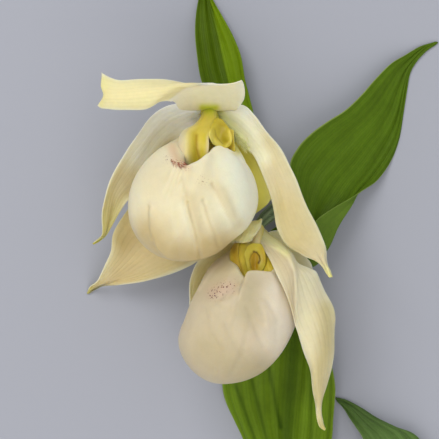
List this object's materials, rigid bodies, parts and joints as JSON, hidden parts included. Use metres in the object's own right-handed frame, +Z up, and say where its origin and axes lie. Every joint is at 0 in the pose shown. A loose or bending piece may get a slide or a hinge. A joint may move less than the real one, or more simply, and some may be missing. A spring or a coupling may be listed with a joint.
{
  "type": "cypripedium orchid",
  "caption": "Cut flowering stem of a lady's slipper orchid, lying on its back: hollow cream pouches with yellow columns, narrow greenish petals and broad pleated leaves.",
  "frame": {"origin": "middle of the stem's box in X and Y, on the surface that it lies on", "axes": "+Z up from the surface to the blooms, +Y along the lying stem from its cut end towards its top"},
  "size_m": [0.1545, 0.2557, 0.075],
  "materials": {
    "stem": "green stem with fine hairs, satin",
    "leaf": "green pleated leaf, satin",
    "ovary": "ribbed grey-green, fine hairs, satin",
    "sepal": "soft cream to yellow-green with faint veins",
    "petal": "soft cream to yellow-green with faint veins",
    "pouch": "soft translucent cream, fine red-brown speckles at the rim",
    "column": "waxy yellow with a brown tint"
  },
  "bodies": {
    "root": {"stem": "stem", "upper_bract": "leaf", "right_leaf": "leaf", "pleated_leaf": "leaf", "lowest_leaf": "leaf", "upper_ovary": "ovary", "upper_dorsal_sepal": "sepal", "upper_synsepal": "sepal", "upper_left_petal": "petal", "upper_right_petal": "petal", "upper_pouch": "pouch", "upper_column": "column", "lower_ovary": "ovary", "lower_dorsal_sepal": "sepal", "lower_synsepal": "sepal", "lower_left_petal": "petal", "lower_right_petal": "petal", "lower_pouch": "pouch", "lower_column": "column"}
  },
  "joints": []
}
